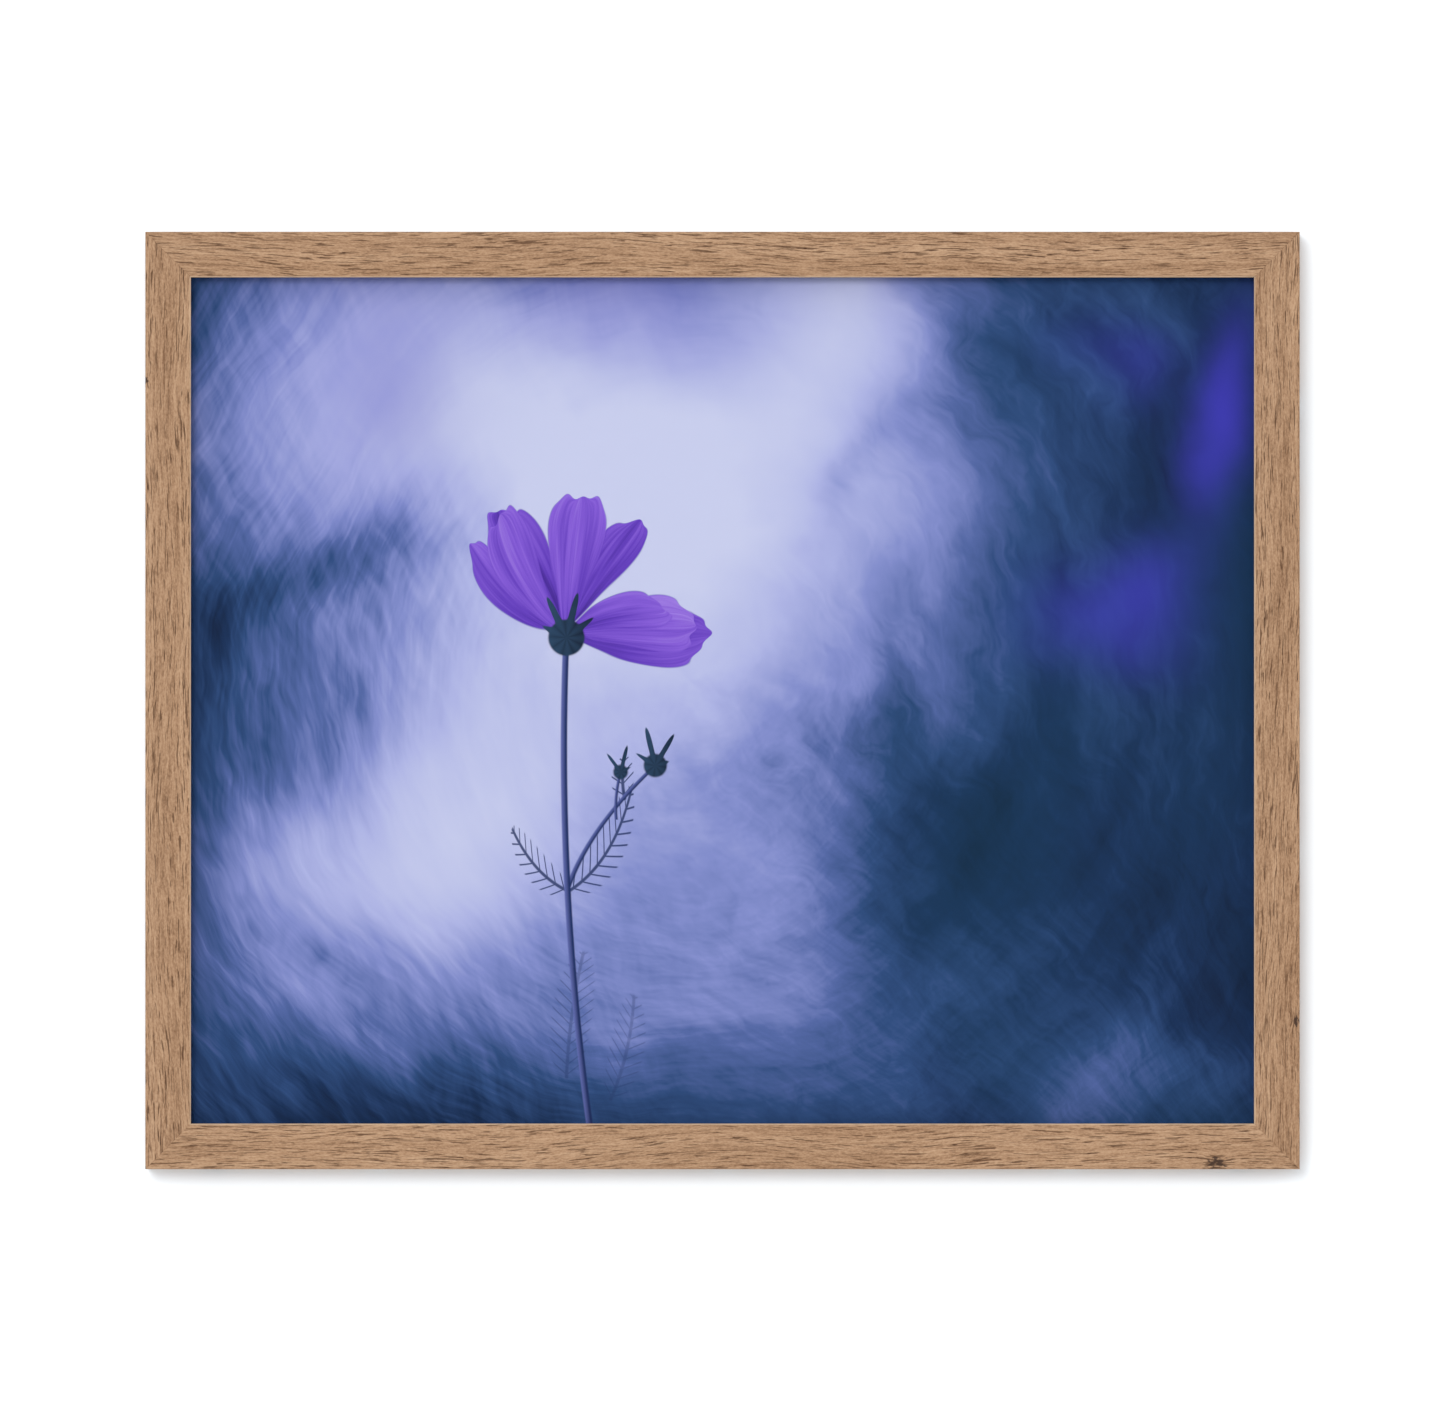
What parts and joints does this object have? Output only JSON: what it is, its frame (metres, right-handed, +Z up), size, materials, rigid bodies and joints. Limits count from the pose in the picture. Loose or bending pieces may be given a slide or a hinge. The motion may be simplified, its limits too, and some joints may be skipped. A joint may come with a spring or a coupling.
{
  "type": "picture frame",
  "caption": "Mitred oak wall frame with clear glazing and a print held off it by spacers, a backed pack locked in by turn buttons, and D-ring hangers.",
  "frame": {"origin": "on the wall plane, behind the centre of the picture; the wall bumpers' flat backs lie in this plane", "axes": "+X to the viewer's right along the frame's width, +Y into the wall, +Z up; the picture faces -Y"},
  "size_m": [0.532, 0.028, 0.432],
  "materials": {
    "oak": "matte",
    "nail_steel": "satin",
    "clear_acrylic": "gloss",
    "spacer_plastic": "matte",
    "printed_paper": "satin",
    "hinge_tissue": "matte",
    "mount_board": "matte",
    "foam_board": "matte",
    "hardboard": "matte",
    "nickel_steel": "satin",
    "zinc_screw": "satin",
    "zinc_steel": "satin",
    "bumper_rubber": "matte"
  },
  "bodies": {
    "frame": {"top_rail": "oak", "bottom_rail": "oak", "left_stile": "oak", "right_stile": "oak", "v_nails_top_left": "nail_steel", "v_nails_top_right": "nail_steel", "v_nails_bottom_left": "nail_steel", "v_nails_bottom_right": "nail_steel", "glazing": "clear_acrylic", "spacer_top": "spacer_plastic", "spacer_bottom": "spacer_plastic", "spacer_left": "spacer_plastic", "spacer_right": "spacer_plastic", "art_print": "printed_paper", "print_hinges": "hinge_tissue", "mount_board": "mount_board", "foam_board": "foam_board", "backing_board": "hardboard", "turn_button_screws": "zinc_screw", "hanger_strap_left": "zinc_steel", "hanger_strap_right": "zinc_steel", "hanger_screws": "zinc_screw", "wall_bumper_left": "bumper_rubber", "wall_bumper_right": "bumper_rubber"},
    "turn_button_top_left": {"turn_button_top_left": "nickel_steel"},
    "turn_button_top_centre": {"turn_button_top_centre": "nickel_steel"},
    "turn_button_top_right": {"turn_button_top_right": "nickel_steel"},
    "turn_button_bottom_left": {"turn_button_bottom_left": "nickel_steel"},
    "turn_button_bottom_centre": {"turn_button_bottom_centre": "nickel_steel"},
    "turn_button_bottom_right": {"turn_button_bottom_right": "nickel_steel"},
    "turn_button_left_upper": {"turn_button_left_upper": "nickel_steel"},
    "turn_button_left_lower": {"turn_button_left_lower": "nickel_steel"},
    "turn_button_right_upper": {"turn_button_right_upper": "nickel_steel"},
    "turn_button_right_lower": {"turn_button_right_lower": "nickel_steel"},
    "d_ring_left": {"d_ring_left": "zinc_steel"},
    "d_ring_right": {"d_ring_right": "zinc_steel"}
  },
  "joints": [
    {"name": "turn_top_left", "type": "hinge", "parent": "frame", "child": "turn_button_top_left", "pos_m": [-0.16, -0.0044, 0.2085], "axis": [0, 1, 0], "range_deg": [-90, 90]},
    {"name": "turn_top_centre", "type": "hinge", "parent": "frame", "child": "turn_button_top_centre", "pos_m": [0, -0.0044, 0.2085], "axis": [0, 1, 0], "range_deg": [-90, 90]},
    {"name": "turn_top_right", "type": "hinge", "parent": "frame", "child": "turn_button_top_right", "pos_m": [0.16, -0.0044, 0.2085], "axis": [0, 1, 0], "range_deg": [-90, 90]},
    {"name": "turn_bottom_left", "type": "hinge", "parent": "frame", "child": "turn_button_bottom_left", "pos_m": [-0.16, -0.0044, -0.2085], "axis": [0, 1, 0], "range_deg": [-90, 90]},
    {"name": "turn_bottom_centre", "type": "hinge", "parent": "frame", "child": "turn_button_bottom_centre", "pos_m": [0, -0.0044, -0.2085], "axis": [0, 1, 0], "range_deg": [-90, 90]},
    {"name": "turn_bottom_right", "type": "hinge", "parent": "frame", "child": "turn_button_bottom_right", "pos_m": [0.16, -0.0044, -0.2085], "axis": [0, 1, 0], "range_deg": [-90, 90]},
    {"name": "turn_left_upper", "type": "hinge", "parent": "frame", "child": "turn_button_left_upper", "pos_m": [-0.2585, -0.0044, 0.07], "axis": [0, 1, 0], "range_deg": [-90, 90]},
    {"name": "turn_left_lower", "type": "hinge", "parent": "frame", "child": "turn_button_left_lower", "pos_m": [-0.2585, -0.0044, -0.07], "axis": [0, 1, 0], "range_deg": [-90, 90]},
    {"name": "turn_right_upper", "type": "hinge", "parent": "frame", "child": "turn_button_right_upper", "pos_m": [0.2585, -0.0044, 0.07], "axis": [0, 1, 0], "range_deg": [-90, 90]},
    {"name": "turn_right_lower", "type": "hinge", "parent": "frame", "child": "turn_button_right_lower", "pos_m": [0.2585, -0.0044, -0.07], "axis": [0, 1, 0], "range_deg": [-90, 90]},
    {"name": "swing_ring_left", "type": "hinge", "parent": "frame", "child": "d_ring_left", "pos_m": [-0.2585, -0.00315, 0.14], "axis": [1, 0, 0], "range_deg": [0, 178]},
    {"name": "swing_ring_right", "type": "hinge", "parent": "frame", "child": "d_ring_right", "pos_m": [0.2585, -0.00315, 0.14], "axis": [1, 0, 0], "range_deg": [0, 178]}
  ]
}
